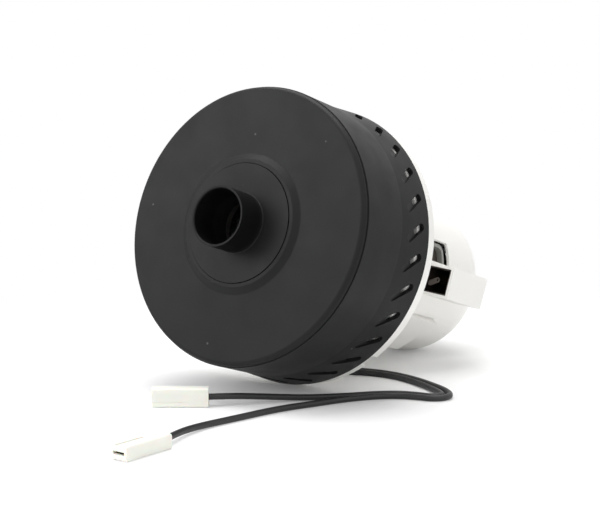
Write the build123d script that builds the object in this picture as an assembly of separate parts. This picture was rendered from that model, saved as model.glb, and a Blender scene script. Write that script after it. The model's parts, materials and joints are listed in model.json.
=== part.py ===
from build123d import *
import os
from math import acos, asin, atan2, cos, degrees, hypot, pi, radians, sin, tan

# Vacuum motor unit, lying on its side as it rests on a table: a black inlet hood over a two-stage fan,
# and a white housing with a brushed motor behind it. Millimetres.
#
# Every piece but the leads and their connectors is drawn in the motor's own frame: Z along the shaft, towards
# the inlet, with zero where the hood's rim meets the flange, X to the right of someone who faces the inlet
# from behind, Y up. The finished pieces are then laid down together. The row's frame has Z up, the inlet
# towards -Y, and its origin on the table under the middle of the unit.

# General values and clearances
full_turn = 360.0
half_turn = 180.0
overrun = 5.0
seat_clearance = 0.2
running_clearance = 0.04
fit_clearance = 0.3

# Inlet hood
hood_rim_radius = 80.0
hood_wall = 2.3
hood_band_length = 25.0
hood_band_flare = 2.3
hood_drum_draft = 0.7
hood_lip_height = 61.4
hood_lip_round = 2.5
hood_lip_band = 3.4
hood_lip_step = 0.6
hood_face_rise = 1.8
hood_crater_slope = 3.5
hood_crater_rim = 2.0
hood_crater_rise = 2.1
hood_crater_round = 1.2
hood_seat_ledge = 5.0
hood_pillar_radius = 4.2
hood_pillar_gap = 0.5
hood_pillar_rib = 2.0
hood_pillar_count = 4
hood_pillar_angle = 30.0

# Air slots in the flared band
slot_count = 30
slot_length = 16.9
slot_width = 3.7
slot_slant = 35.9
slot_middle_height = 12.3
slot_phase = -4.7
slot_hole_length = 8.5
slot_recess_depth = 1.2
slot_recess_margin = 0.3

# Inlet spigot
spigot_disc_radius = 32.6
spigot_disc_thickness = 2.6
spigot_disc_rise = 0.5
spigot_disc_gap = 0.4
spigot_bore_radius = 15.0
spigot_wall = 1.4
spigot_reach = 18.4
spigot_tail = 7.0
spigot_round = 0.5

# Flange of the motor housing
flange_step = 1.0
flange_depth = 7.8
flange_web = 3.0
collar_wall = 2.0
collar_height = 7.5
notch_start_angle = -53.3
notch_end_angle = -46.8
notch_depth = 6.5

# Motor barrel
barrel_radius = 46.1
barrel_wall = 1.6
barrel_straight_end = -117.9
barrel_round = 24.0
boss_radius = 14.0
boss_length = 8.0
boss_inner_length = 4.0
vent_count = 10
vent_width = 5.0
vent_inner_radius = 17.5
vent_rim = 10.1

# Window in the barrel
window_start_angle = 7.5
window_end_angle = 25.5
window_front = -56.0
window_rear = -88.0

# Brush box on the barrel
box_angle = -6.4
box_depth = 17.1
box_height = 18.8
box_wall = 1.6
box_front = -62.0
box_rear = -105.0

# Low panel on the barrel, an air scoop open towards the flange
panel_start_angle = -71.0
panel_end_angle = -35.4
panel_rise = 4.1
panel_wall = 1.3
panel_front = -61.5
panel_lip = 1.0
panel_groove_depth = 0.8
panel_groove_angle = 0.9
panel_rear = -93.0

# Shaft and ball bearings
shaft_radius = 4.0
shaft_front = 51.5
shaft_rear = -147.0
bearing_radius = 11.0
bearing_width = 7.0
bearing_ball_radius = 1.95
bearing_ball_count = 7
bearing_land = 1.9
bearing_cage_wall = 0.9
bearing_seat_wall = 2.8
bearing_face_gap = 0.5
front_bearing_front = -5.6
rear_bearing_rear = -144.0

# Bearing bracket
bracket_gap = 0.9
bracket_thickness = 2.5
bracket_hub_depth = 11.0
bracket_window_count = 6
bracket_window_inner_radius = 18.0
bracket_window_outer_radius = 38.0
bracket_window_angle = 40.0
bracket_screw_step = 2.5
bracket_screw_count = 4
bracket_screw_angle = 0.0

# Fan case, impellers and guide plate
shroud_step = 0.4
shroud_wall = 0.9
shroud_front = 47.0
shroud_eye_radius = 20.0
shroud_lip = 3.0
shroud_port_count = 12
shroud_port_angle = 14.0
shroud_port_bottom = 1.5
shroud_port_top = 13.5
impeller_tip_gap = 4.7
impeller_eye_radius = 18.0
impeller_plate = 0.9
impeller_blade_height = 9.5
impeller_blade_thickness = 0.9
impeller_blade_count = 9
impeller_hub_radius = 9.0
impeller_hub_length = 5.0
impeller_blade_start_gap = 2.5
impeller_blade_curve_share = 0.55
impeller_blade_centre_share = 0.58
impeller_rear_base = 2.0
impeller_front_base = 29.0
guide_base = 17.5
guide_plate_thickness = 1.0
guide_vane_height = 8.0
guide_vane_count = 12
guide_eye_radius = 16.0
guide_vane_gap = 2.7
spacer_radius = 7.0
washer_radius = 8.5
washer_thickness = 1.2
nut_across_flats = 13.0
nut_height = 6.0

# Inlet seal
seal_inner_radius = 22.0
seal_wall = 5.4

# Armature
armature_air_gap = 0.6
armature_front = -38.0
armature_rear = -82.0
armature_slot_count = 12
armature_slot_width = 3.4
armature_slot_depth_share = 0.444
armature_sleeve_radius = 6.0
winding_overhang = 7.0
winding_inner_radius = 8.5
winding_sink = 1.0
winding_round = 2.5
commutator_radius = 12.5
commutator_front = -90.0
commutator_rear = -106.0
commutator_depth = 3.5
commutator_bar_count = 24
commutator_bar_gap_angle = 1.6
cooling_fan_gap = 11.9
cooling_fan_front = -112.0
cooling_fan_plate = 1.4
cooling_fan_blade = 9.0
cooling_fan_blade_thickness = 1.4
cooling_fan_blade_count = 9
cooling_fan_hub_radius = 7.5

# Stator
stator_clearance = 0.1
stator_bore_share = 0.516
stator_front = -40.0
stator_rear = -84.5
stator_flat_depth = 5.9
stator_pocket_gap = 0.7
stator_pocket_angle = 36.0
stator_channel_depth = 3.5
stator_channel_start_angle = 1.0
stator_channel_end_angle = 34.5
stator_notch_start_angle = -34.5
stator_notch_end_angle = -24.5
guard_start_angle = 3.0
guard_end_angle = 23.8
guard_front = -46.0
guard_corner = 4.0
guard_border = 2.4
coil_depth_share = 0.481
coil_gap_angle = 4.0
coil_edge_angle = 2.0
coil_overhang = 4.0
coil_end_thickness = 3.6
stator_ledge_length = 12.0
stator_ledge_angle = 16.0
stator_ledge_count = 4
stator_ledge_first = 45.0

# Brush gear, one set on each side
brush_height = 9.0
brush_width = 6.0
brush_axis_height = -98.0
brush_travel = 6.0
tube_wall = 0.8
tube_inner_gap = 2.0
holder_margin = 2.4
holder_inner_end = 22.0
liner_wall = 0.6
liner_clearance = 0.1
liner_sink = 0.5
cap_thickness = 2.4
cap_rim = 0.5
cap_gap = 7.2
spring_radius = 2.6
spring_wire = 0.7
spring_turns = 8
spring_space = 17.2
terminal_thickness = 0.8
terminal_width = 3.2
terminal_lift = 2.6
terminal_drop = 2.1
terminal_sink = 2.0
terminal_reach = 8.2
terminal_tilt = 29.6
terminal_hole_radius = 0.6

# Fasteners
hood_screw_radius = 2.0
hood_screw_length = 16.0
hood_screw_head_radius = 4.0
hood_screw_head_height = 2.6
bracket_screw_radius = 1.5
bracket_screw_length = 5.0
bracket_screw_head_radius = 2.7
bracket_screw_head_height = 2.0
stator_screw_radius = 1.9
stator_screw_count = 2
stator_screw_overhang = 8.0
stator_screw_head_radius = 3.6
stator_screw_head_height = 2.4
screw_recess_share = 0.5
screw_recess_width_share = 0.22

# Lead grommet under the barrel
grommet_middle = -38.3
grommet_lead_spacing = 4.6
grommet_wall = 1.7
grommet_groove = 0.9
grommet_flange = 1.6
grommet_reach = 6.0

# Leads and push-on connectors
lead_diameter = 3.4
connector_length = 30.0
connector_height = 10.4
connector_thickness = 7.4
connector_nose = 0.5
connector_round = 1.1
connector_step = 0.6
connector_step_length = 15.5
connector_mouth_height = 7.2
connector_mouth_thickness = 1.5
connector_mouth_wall = 2.0
connector_chamber_height = 8.0
connector_chamber_thickness = 4.6
connector_chamber_length = 13.0
connector_lead_socket = 6.0
receptacle_height = 7.2
receptacle_thickness = 2.8
receptacle_wall = 0.5

# Routes of the two leads on the table, from the grommet to the connectors
lead_one_route = [
    (0.0, -10.3, 21.0),
    (0.0, -12.7, 12.6),
    (1.4, -14.2, 6.0),
    (5.0, -13.2, 2.2),
    (11.5, -9.6, 1.7),
    (20.5, -5.2, 1.7),
    (31.8, -2.7, 1.7),
    (44.3, -3.3, 1.7),
    (57.2, -7.6, 1.7),
    (70.6, -14.4, 1.7),
    (80.6, -20.8, 1.7),
    (88.4, -27.0, 1.7),
    (89.2, -31.4, 1.7),
    (86.4, -34.8, 1.7),
    (78.2, -35.6, 1.7),
    (67.5, -38.9, 1.7),
    (57.6, -47.1, 1.7),
    (49.4, -57.6, 1.7),
    (41.2, -67.2, 1.8),
    (32.2, -77.4, 2.1),
    (22.4, -87.4, 3.0),
    (13.2, -97.6, 4.1),
    (4.6, -107.2, 5.0),
    (-3.1, -116.2, 5.2),
]
lead_two_route = [
    (0.0, -5.9, 19.7),
    (0.0, -8.3, 11.4),
    (1.0, -9.6, 5.2),
    (4.0, -8.2, 2.1),
    (9.8, -4.8, 1.7),
    (18.6, -0.9, 1.7),
    (31.0, 1.6, 1.7),
    (45.0, 0.6, 1.7),
    (59.0, -3.8, 1.7),
    (73.0, -10.6, 1.7),
    (84.6, -17.4, 1.7),
    (92.4, -24.8, 1.7),
    (93.8, -32.2, 1.7),
    (89.0, -38.6, 1.7),
    (80.2, -40.0, 1.7),
    (70.6, -43.2, 1.7),
    (61.8, -50.6, 1.7),
    (54.6, -60.6, 1.7),
    (48.6, -72.0, 1.7),
    (43.2, -85.2, 1.7),
    (37.0, -98.6, 1.7),
    (32.6, -112.6, 1.7),
    (29.8, -127.2, 1.7),
    (26.6, -141.8, 1.7),
    (24.4, -156.2, 2.0),
    (25.2, -169.8, 2.7),
    (28.2, -181.6, 3.4),
    (30.9, -192.2, 3.7),
]
connector_one_heading = (-24.3, -17.2, 0.0)
connector_two_heading = (-1.6, -33.0, 0.0)

# Levels and radii worked out from the sizes above
hood_drum_radius = hood_rim_radius - hood_band_flare
hood_lip_radius = hood_drum_radius - hood_drum_draft - hood_lip_step
crater_top = hood_lip_height + hood_face_rise + hood_crater_rise
disc_front = crater_top + spigot_disc_rise
disc_back = disc_front - spigot_disc_thickness
hood_seat_radius = spigot_disc_radius + spigot_disc_gap
hood_crater_top_radius = hood_seat_radius + hood_crater_rim
hood_crater_foot_radius = hood_crater_top_radius + hood_crater_slope
hood_inner_face = hood_lip_height - hood_wall
spigot_radius = spigot_bore_radius + spigot_wall
spigot_tip = disc_front + spigot_reach
spigot_tail_end = disc_back - spigot_tail
flange_radius = hood_rim_radius - flange_step
web_front = flange_web - flange_depth
hood_inner_at_collar = hood_rim_radius - hood_wall - hood_band_flare * collar_height / hood_band_length
collar_radius = hood_inner_at_collar - fit_clearance
slot_middle_radius = hood_rim_radius - hood_band_flare * slot_middle_height / hood_band_length
panel_half_angle = (panel_end_angle - panel_start_angle) / 2
panel_middle_angle = panel_start_angle + panel_half_angle
panel_face = (barrel_radius + panel_rise) * cos(radians(panel_half_angle))
hood_pillar_circle = collar_radius - collar_wall - hood_pillar_gap - hood_pillar_radius
bracket_radius = hood_pillar_circle - hood_pillar_radius - bracket_gap
shroud_radius = bracket_radius - shroud_step
impeller_radius = shroud_radius - shroud_wall - impeller_tip_gap
impeller_blade_start_radius = impeller_eye_radius + impeller_blade_start_gap
impeller_blade_curve_radius = impeller_radius * impeller_blade_curve_share
impeller_blade_curve_centre = impeller_radius * impeller_blade_centre_share
guide_vane_end_radius = shroud_radius - shroud_wall - guide_vane_gap
barrel_inner_radius = barrel_radius - barrel_wall
barrel_end = barrel_straight_end - barrel_round
boss_end = barrel_end - boss_length
vent_outer_radius = barrel_radius - vent_rim
bracket_screw_circle = barrel_radius + bracket_screw_step
box_reach = barrel_radius + box_depth
box_inner_radius = barrel_radius - barrel_wall / 2
bracket_front = web_front + bracket_thickness
front_bearing_rear = front_bearing_front - bearing_width
rear_bearing_front = rear_bearing_rear + bearing_width
bearing_pitch_radius = (bearing_radius + shaft_radius) / 2
box_middle_reach = (barrel_radius + box_reach - box_wall) / 2
tube_height = brush_height + 2 * (running_clearance + tube_wall)
tube_width = brush_width + 2 * (running_clearance + tube_wall)
brush_tip = commutator_radius + fit_clearance
tube_outer_end = box_reach - box_wall - cap_gap - cap_thickness
brush_length = tube_outer_end - brush_tip - spring_space
stator_outer_radius = barrel_inner_radius - stator_clearance
stator_bore_radius = stator_outer_radius * stator_bore_share
stator_channel_radius = stator_outer_radius - stator_channel_depth
stator_flat = barrel_inner_radius - stator_flat_depth
armature_radius = stator_bore_radius - armature_air_gap
armature_slot_depth = (armature_radius - shaft_radius) * armature_slot_depth_share
coil_radius = stator_bore_radius + (stator_outer_radius - stator_bore_radius) * coil_depth_share
stator_pocket_radius = coil_radius + stator_pocket_gap
cooling_fan_radius = barrel_inner_radius - cooling_fan_gap
lead_radius = lead_diameter / 2
impeller_stack_top = impeller_front_base + impeller_hub_length
stator_screw_circle = (coil_radius + barrel_inner_radius) / 2

# How the unit lies: on the flange's rear edge and the rounded rear end of the barrel
round_centre_height = barrel_straight_end
round_centre_radius = barrel_radius - barrel_round
support_length = -flange_depth - round_centre_height
support_drop = flange_radius - round_centre_radius
lean = atan2(support_drop, support_length) - asin(barrel_round / hypot(support_length, support_drop))
axis_height = flange_radius * cos(lean) + flange_depth * sin(lean)
front_reach = spigot_tip * cos(lean) + spigot_radius * sin(lean)
rear_reach = -boss_end * cos(lean) + boss_radius * sin(lean)
laid_down = Location((0, (front_reach - rear_reach) / 2, axis_height), (90 - degrees(lean), 0, 0))


# Shapes that several pieces share

def turned(points, arc=full_turn):
    """Solid of revolution about the shaft from (radius, height) points."""
    outline = Polyline(*[(radius, 0, height) for radius, height in points], close=True)
    return revolve(make_face(outline), axis=Axis.Z, revolution_arc=arc)


def ring(inner, outer, low, high, start=0.0, end=full_turn):
    """Ring, or a sector of one, between two radii and two heights."""
    sector = turned([(inner, low), (outer, low), (outer, high), (inner, high)], end - start)
    return Rot(0, 0, start) * sector


def rod(radius, low, high):
    """Plain round bar about the shaft's axis."""
    return Pos(0, 0, low) * Cylinder(radius, high - low, align=(Align.CENTER, Align.CENTER, Align.MIN))


def block(x_low, x_high, depth, low, high):
    """Block along X, centred on Y, between two heights."""
    size = (x_high - x_low, depth, high - low)
    return Pos(x_low, 0, low) * Box(*size, align=(Align.MIN, Align.CENTER, Align.MIN))


def around(piece, count, first=0.0):
    """Copies of a piece at even steps about the shaft."""
    return [Rot(0, 0, first + full_turn * index / count) * piece for index in range(count)]


def circles_at(piece, height, radius):
    """Round edges of a piece at one height and radius."""
    close = radius / 1000
    return [
        edge
        for edge in piece.edges().filter_by(GeomType.CIRCLE)
        if abs(edge.center().Z - height) < close and abs(edge.radius - radius) < close
    ]


def screw(shank, length, head, head_height):
    """Cross-head screw along Z, its head's seat at zero and its shank pointing up."""
    body = rod(shank, 0, length) + rod(head, -head_height, 0)
    rim = circles_at(body, -head_height, head)
    body = fillet(rim, head_height / 2)
    arm = head * screw_recess_share * 2
    width = head * screw_recess_width_share * 2
    depth = head_height * screw_recess_share
    for size in ((arm, width, depth), (width, arm, depth)):
        body -= Pos(0, 0, -head_height) * Box(*size, align=(Align.CENTER, Align.CENTER, Align.MIN))
    return body


# Hood and inlet

def slot_plane(radius, angle, shift):
    """Plane that faces out of the band at one slot, its X along the slot towards the inlet."""
    lean_out = radians(slot_slant)
    across = -shift * sin(lean_out)
    along = slot_middle_height + shift * cos(lean_out)
    plane = Plane(origin=(radius, across, along), x_dir=(0, -sin(lean_out), cos(lean_out)), z_dir=(1, 0, 0))
    return Rot(0, 0, angle) * plane.location


def air_slot(angle):
    """Cutter for the rear half of one slanted slot, right through the band."""
    start = hood_lip_radius - hood_wall - overrun
    shift = (slot_hole_length - slot_length) / 2
    return extrude(slot_plane(start, angle, shift) * SlotOverall(slot_hole_length, slot_width), 3 * overrun)


def slot_recess(angle):
    """Cutter for the shallow recess round the whole of one slot."""
    length = slot_length + 2 * slot_recess_margin
    width = slot_width + 2 * slot_recess_margin
    floor = slot_middle_radius - slot_recess_depth
    return extrude(slot_plane(floor, angle, 0) * SlotOverall(length, width), overrun)


def hood_pillar():
    """Screw pillar inside the hood, with its rib to the wall."""
    pillar = Pos(hood_pillar_circle, 0, 0) * rod(hood_pillar_radius, web_front, hood_inner_face + hood_wall / 2)
    rib = block(hood_pillar_circle, hood_lip_radius - hood_wall / 2, hood_pillar_rib,
                collar_height + fit_clearance, hood_inner_face + hood_wall / 2)
    bore = Pos(hood_pillar_circle, 0, 0) * rod(hood_screw_radius, web_front - overrun, hood_screw_length)
    return pillar + rib - bore


def make_inlet_hood():
    shell = turned([
        (hood_rim_radius, 0),
        (hood_drum_radius, hood_band_length),
        (hood_lip_radius + hood_lip_step, hood_lip_height - hood_lip_band),
        (hood_lip_radius, hood_lip_height - hood_lip_band),
        (hood_lip_radius, hood_lip_height),
        (hood_crater_foot_radius, hood_lip_height + hood_face_rise),
        (hood_crater_top_radius, crater_top),
        (hood_seat_radius, crater_top),
        (hood_seat_radius, disc_back),
        (hood_seat_radius - hood_seat_ledge, disc_back),
        (hood_seat_radius - hood_seat_ledge, disc_back - hood_wall),
        (hood_lip_radius - hood_wall, hood_inner_face),
        (hood_drum_radius - hood_wall, hood_band_length),
        (hood_rim_radius - hood_wall, 0),
    ])
    lip = circles_at(shell, hood_lip_height, hood_lip_radius)
    shell = fillet(lip, hood_lip_round)
    crater = circles_at(shell, hood_lip_height + hood_face_rise, hood_crater_foot_radius)
    crater += circles_at(shell, crater_top, hood_crater_top_radius)
    shell = fillet(crater, hood_crater_round)
    shoulder = circles_at(shell, hood_lip_height - hood_lip_band, hood_lip_radius + hood_lip_step)
    shell = fillet(shoulder, hood_lip_step / 2)
    pillar = hood_pillar()
    shell += around(pillar, hood_pillar_count, hood_pillar_angle)
    angles = [slot_phase + full_turn * index / slot_count for index in range(slot_count)]
    shell -= [air_slot(angle) for angle in angles]
    shell -= [slot_recess(angle) for angle in angles]
    return shell


def make_inlet_spigot():
    body = turned([
        (spigot_bore_radius, spigot_tail_end),
        (spigot_radius, spigot_tail_end),
        (spigot_radius, disc_back),
        (spigot_disc_radius, disc_back),
        (spigot_disc_radius, disc_front),
        (spigot_radius, disc_front),
        (spigot_radius, spigot_tip),
        (spigot_bore_radius, spigot_tip),
    ])
    root = circles_at(body, disc_front, spigot_radius)
    body = fillet(root, spigot_round)
    mouth = circles_at(body, spigot_tip, spigot_bore_radius)
    return chamfer(mouth, spigot_wall / 3)


def make_inlet_seal():
    return ring(seal_inner_radius, seal_inner_radius + seal_wall, shroud_front, disc_back)


# Housing

def barrel_shell():
    """Barrel with its rounded end, solid wall only."""
    outer = rod(barrel_radius, barrel_end, -flange_depth + flange_web / 2)
    outer = fillet(circles_at(outer, barrel_end, barrel_radius), barrel_round)
    inner = rod(barrel_inner_radius, barrel_end + barrel_wall, overrun)
    inner = fillet(circles_at(inner, barrel_end + barrel_wall, barrel_inner_radius), barrel_round - barrel_wall)
    return outer, inner


def brush_box(angle):
    """Walls of the box on the barrel for one brush tube, open towards the flange."""
    walls = block(box_inner_radius, box_reach, box_height, box_rear, box_front)
    walls -= block(barrel_inner_radius - overrun, box_reach - box_wall, box_height - 2 * box_wall,
                   box_rear + box_wall, box_front + overrun)
    return Rot(0, 0, angle) * walls


def panel_block(face):
    """Everything on the shaft's side of a flat face that looks out of the low air scoop."""
    reach = barrel_radius + panel_rise
    return Rot(0, 0, panel_middle_angle) * block(0, face, 2 * reach, panel_rear, panel_front + overrun)


def low_panel():
    """Walls of the flat low air scoop on the barrel, open towards the flange."""
    reach = barrel_radius + panel_rise
    edge_angle = degrees(panel_wall / barrel_radius)
    walls = ring(box_inner_radius, reach, panel_rear, panel_front, panel_start_angle, panel_end_angle)
    inside = ring(barrel_inner_radius, reach, panel_rear + panel_wall, panel_front + overrun,
                  panel_start_angle + edge_angle, panel_end_angle - edge_angle)
    return (walls & panel_block(panel_face)) - (inside & panel_block(panel_face - panel_wall))


def panel_port():
    """Cutter for the way from the low air scoop into the barrel."""
    edge_angle = 2 * degrees(panel_wall / barrel_radius)
    return ring(barrel_inner_radius - overrun, barrel_radius + panel_wall / 2, stator_rear + panel_lip,
                panel_front - panel_lip, panel_start_angle + edge_angle, panel_end_angle - edge_angle)


def panel_groove(start_angle):
    """Cutter for the shallow groove beside the low air scoop."""
    return ring(barrel_radius - panel_groove_depth, barrel_radius + overrun, panel_rear, panel_front,
                start_angle, start_angle + panel_groove_angle)


def stator_ledge():
    """Sector inside the barrel that the stator's rear face sits on."""
    half = stator_ledge_angle / 2
    return ring(coil_radius + 2 * fit_clearance, barrel_radius - barrel_wall / 2,
                stator_rear - stator_ledge_length, stator_rear, -half, half)


def along_brush(angle, height, width, start, end):
    """Bar along a brush's axis."""
    low = brush_axis_height - width / 2
    return Rot(0, 0, angle) * block(start, end, height, low, low + width)


def grommet_slot(length, width, start, end):
    """Rounded prism that points straight down out of the barrel at the grommet."""
    plane = Plane(origin=(0, -start, grommet_middle), x_dir=(0, 0, 1), z_dir=(0, -1, 0))
    return extrude(plane * SlotOverall(length, width), end - start)


def make_motor_housing():
    outer, inner = barrel_shell()
    flange = turned([
        (barrel_inner_radius, -flange_depth),
        (flange_radius, -flange_depth),
        (flange_radius, 0),
        (collar_radius, 0),
        (collar_radius, collar_height),
        (collar_radius - collar_wall, collar_height),
        (collar_radius - collar_wall, web_front),
        (barrel_inner_radius, web_front),
    ])
    boss = rod(boss_radius, boss_end, barrel_end + barrel_wall + boss_inner_length)
    body = outer + flange + low_panel() + [brush_box(angle) for angle in (box_angle, box_angle + half_turn)]
    body -= inner
    body -= panel_port()
    body -= [panel_groove(panel_end_angle), panel_groove(panel_start_angle - panel_groove_angle)]
    body += boss
    body += around(stator_ledge(), stator_ledge_count, stator_ledge_first)
    pilot = rod(stator_screw_radius, stator_rear - stator_ledge_length - overrun, stator_rear + overrun)
    body -= around(Pos(stator_screw_circle, 0, 0) * pilot, stator_screw_count, stator_ledge_first)
    body -= rod(bearing_radius, rear_bearing_rear, overrun + barrel_end + barrel_round)
    body -= rod(shaft_radius + fit_clearance * 2, shaft_rear - fit_clearance * 2, rear_bearing_rear)
    body -= rod(bearing_radius - bearing_land, rear_bearing_rear - bearing_face_gap, rear_bearing_rear)
    for angle in (window_start_angle, window_start_angle + half_turn):
        body -= ring(barrel_inner_radius - overrun, barrel_radius + overrun, window_rear, window_front,
                     angle, angle + window_end_angle - window_start_angle)
    for angle in (box_angle, box_angle + half_turn):
        body -= along_brush(angle, tube_height, tube_width, holder_inner_end, box_middle_reach)
    body -= ring(flange_radius - notch_depth, flange_radius + overrun, -flange_depth - overrun, 0,
                 notch_start_angle, notch_end_angle)
    vent = block(vent_inner_radius, vent_outer_radius, vent_width, barrel_end - overrun,
                 barrel_straight_end)
    body -= around(vent, vent_count, half_turn / vent_count)
    hole = rod(hood_screw_radius + seat_clearance, -flange_depth - overrun, overrun)
    seat = rod(hood_screw_head_radius + seat_clearance, -flange_depth - overrun, -flange_depth + seat_clearance)
    body -= around(Pos(hood_pillar_circle, 0, 0) * (hole + seat), hood_pillar_count, hood_pillar_angle)
    pilot = rod(bracket_screw_radius, -flange_depth - overrun, web_front + overrun)
    body -= around(Pos(bracket_screw_circle, 0, 0) * pilot, bracket_screw_count, bracket_screw_angle)
    slot = grommet_slot(grommet_lead_spacing + lead_diameter + 2 * grommet_wall,
                        lead_diameter + 2 * grommet_wall, armature_radius, barrel_radius + overrun)
    return body - slot


def make_lead_grommet():
    """Rubber grommet held in the barrel's wall by its groove, with one hole for each lead."""
    length = grommet_lead_spacing + lead_diameter + 2 * grommet_wall
    width = lead_diameter + 2 * grommet_wall
    outside = barrel_radius + seat_clearance
    body = grommet_slot(length, width, barrel_inner_radius - grommet_flange, barrel_radius + grommet_reach)
    body += grommet_slot(length + 2 * grommet_flange, width + 2 * grommet_flange, outside,
                         outside + grommet_flange)
    body += grommet_slot(length + grommet_groove, width + grommet_groove,
                         barrel_inner_radius - grommet_flange, barrel_inner_radius - 2 * seat_clearance)
    for side in (-1, 1):
        height = grommet_middle + side * grommet_lead_spacing / 2
        plane = Plane(origin=(0, -armature_radius, height), x_dir=(0, 0, 1), z_dir=(0, -1, 0))
        body -= extrude(plane * Circle(lead_radius), barrel_radius + grommet_reach + overrun - armature_radius)
    return body


def make_bearing_bracket():
    plate = rod(bracket_radius, web_front, bracket_front)
    hub_radius = bearing_radius + bearing_seat_wall
    plate += rod(hub_radius, bracket_front - bracket_hub_depth, bracket_front)
    plate -= rod(bearing_radius, bracket_front - bracket_hub_depth - overrun, front_bearing_front)
    plate -= rod(bearing_radius - bearing_land, front_bearing_front, bracket_front + overrun)
    opening = ring(bracket_window_inner_radius, bracket_window_outer_radius, web_front - overrun,
                   bracket_front + overrun, -bracket_window_angle / 2, bracket_window_angle / 2)
    plate -= around(opening, bracket_window_count)
    hole = rod(bracket_screw_radius + seat_clearance, web_front - overrun, bracket_front + overrun)
    return plate - around(Pos(bracket_screw_circle, 0, 0) * hole, bracket_screw_count, bracket_screw_angle)


# Ball bearings

def bearing_rings(rear):
    """Outer and inner ring of a bearing whose rear face is at a height."""
    middle = rear + bearing_width / 2
    groove = Pos(0, 0, middle) * Torus(bearing_pitch_radius, bearing_ball_radius + running_clearance)
    outer = ring(bearing_radius - bearing_land, bearing_radius, rear, rear + bearing_width) - groove
    inner = ring(shaft_radius, shaft_radius + bearing_land, rear, rear + bearing_width) - groove
    return outer, inner


def bearing_balls(rear):
    """Balls of a bearing, as separate solids."""
    ball = Pos(bearing_pitch_radius, 0, rear + bearing_width / 2) * Sphere(bearing_ball_radius)
    return Compound(children=around(ball, bearing_ball_count))


def bearing_cage(rear):
    """Cage that spaces the balls."""
    middle = rear + bearing_width / 2
    half = bearing_ball_radius + bearing_cage_wall / 2
    cage = ring(bearing_pitch_radius - bearing_cage_wall, bearing_pitch_radius + bearing_cage_wall,
                middle - half, middle + half)
    pocket = Cylinder(bearing_ball_radius + running_clearance, bearing_width)
    pocket = Pos(bearing_pitch_radius, 0, middle) * Rot(0, 90, 0) * pocket
    return cage - around(pocket, bearing_ball_count)


# Fan stages

def blade(start_radius, end_radius, low, high, thickness, curve_radius, curve_centre):
    """One curved blade on a circle whose centre is off the shaft."""
    angles = []
    for radius in (end_radius, start_radius):
        reach = radius * radius - curve_centre * curve_centre - curve_radius * curve_radius
        angles.append(degrees(acos(reach / (2 * curve_centre * curve_radius))))
    sector = ring(curve_radius - thickness, curve_radius, low, high, angles[0], angles[1])
    return Pos(curve_centre, 0, 0) * sector


def make_impeller(base):
    """Closed aluminium impeller with backward curved blades, its back plate at a height."""
    top = base + impeller_plate + impeller_blade_height
    wheel = ring(shaft_radius, impeller_radius, base, base + impeller_plate)
    wheel += ring(impeller_eye_radius, impeller_radius, top, top + impeller_plate)
    wheel += ring(shaft_radius, impeller_hub_radius, base, base + impeller_hub_length)
    vane = blade(impeller_blade_start_radius, impeller_radius - impeller_blade_thickness, base, top + impeller_plate / 2,
                 impeller_blade_thickness, impeller_blade_curve_radius, impeller_blade_curve_centre)
    return wheel + around(vane, impeller_blade_count)


def make_guide_plate():
    """Fixed plate between the stages, with vanes that lead the air back to the second eye."""
    outer = shroud_radius - shroud_wall
    plate = ring(guide_eye_radius, outer, guide_base, guide_base + guide_plate_thickness)
    vane = blade(impeller_blade_start_radius, guide_vane_end_radius, guide_base,
                 guide_base + guide_plate_thickness + guide_vane_height,
                 impeller_blade_thickness, impeller_blade_curve_radius, impeller_blade_curve_centre)
    return plate + around(vane, guide_vane_count)


def make_fan_shroud():
    can = turned([
        (shroud_radius - shroud_wall, bracket_front),
        (shroud_radius, bracket_front),
        (shroud_radius, shroud_front),
        (shroud_eye_radius + shroud_wall, shroud_front),
        (shroud_eye_radius + shroud_wall, shroud_front + shroud_lip),
        (shroud_eye_radius, shroud_front + shroud_lip),
        (shroud_eye_radius, shroud_front - shroud_wall),
        (shroud_radius - shroud_wall, shroud_front - shroud_wall),
    ])
    can = fillet(circles_at(can, shroud_front, shroud_radius), shroud_wall / 2)
    port = ring(shroud_radius - overrun, shroud_radius + overrun, shroud_port_bottom, shroud_port_top,
                -shroud_port_angle / 2, shroud_port_angle / 2)
    return can - around(port, shroud_port_count)


def make_impeller_spacer():
    """Sleeves on the shaft under and between the impellers."""
    lower = ring(shaft_radius, spacer_radius, front_bearing_front, impeller_rear_base)
    upper = ring(shaft_radius, spacer_radius, impeller_rear_base + impeller_hub_length, impeller_front_base)
    return Compound(children=[lower, upper])


def make_fan_washers():
    first = ring(shaft_radius, washer_radius, impeller_stack_top, impeller_stack_top + washer_thickness)
    second = Pos(0, 0, washer_thickness) * first
    return Compound(children=[first, second])


def make_fan_nut():
    base = impeller_stack_top + 2 * washer_thickness
    nut = extrude(Pos(0, 0, base) * RegularPolygon(nut_across_flats / 2, 6, major_radius=False), nut_height)
    return nut - rod(shaft_radius, base - overrun, base + nut_height + overrun)


# Armature

def make_motor_shaft():
    shaft = rod(shaft_radius, shaft_rear, shaft_front)
    ends = circles_at(shaft, shaft_rear, shaft_radius) + circles_at(shaft, shaft_front, shaft_radius)
    return chamfer(ends, shaft_radius / 6)


def armature_slots(depth, low, high):
    """Winding slots of the armature between two heights."""
    return [block(armature_radius - depth, armature_radius + overrun, armature_slot_width, low, high)]


def make_armature_core():
    core = ring(shaft_radius, armature_radius, armature_rear, armature_front)
    slot = armature_slots(armature_slot_depth, armature_rear - overrun, armature_front + overrun)[0]
    return core - around(slot, armature_slot_count)


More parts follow.
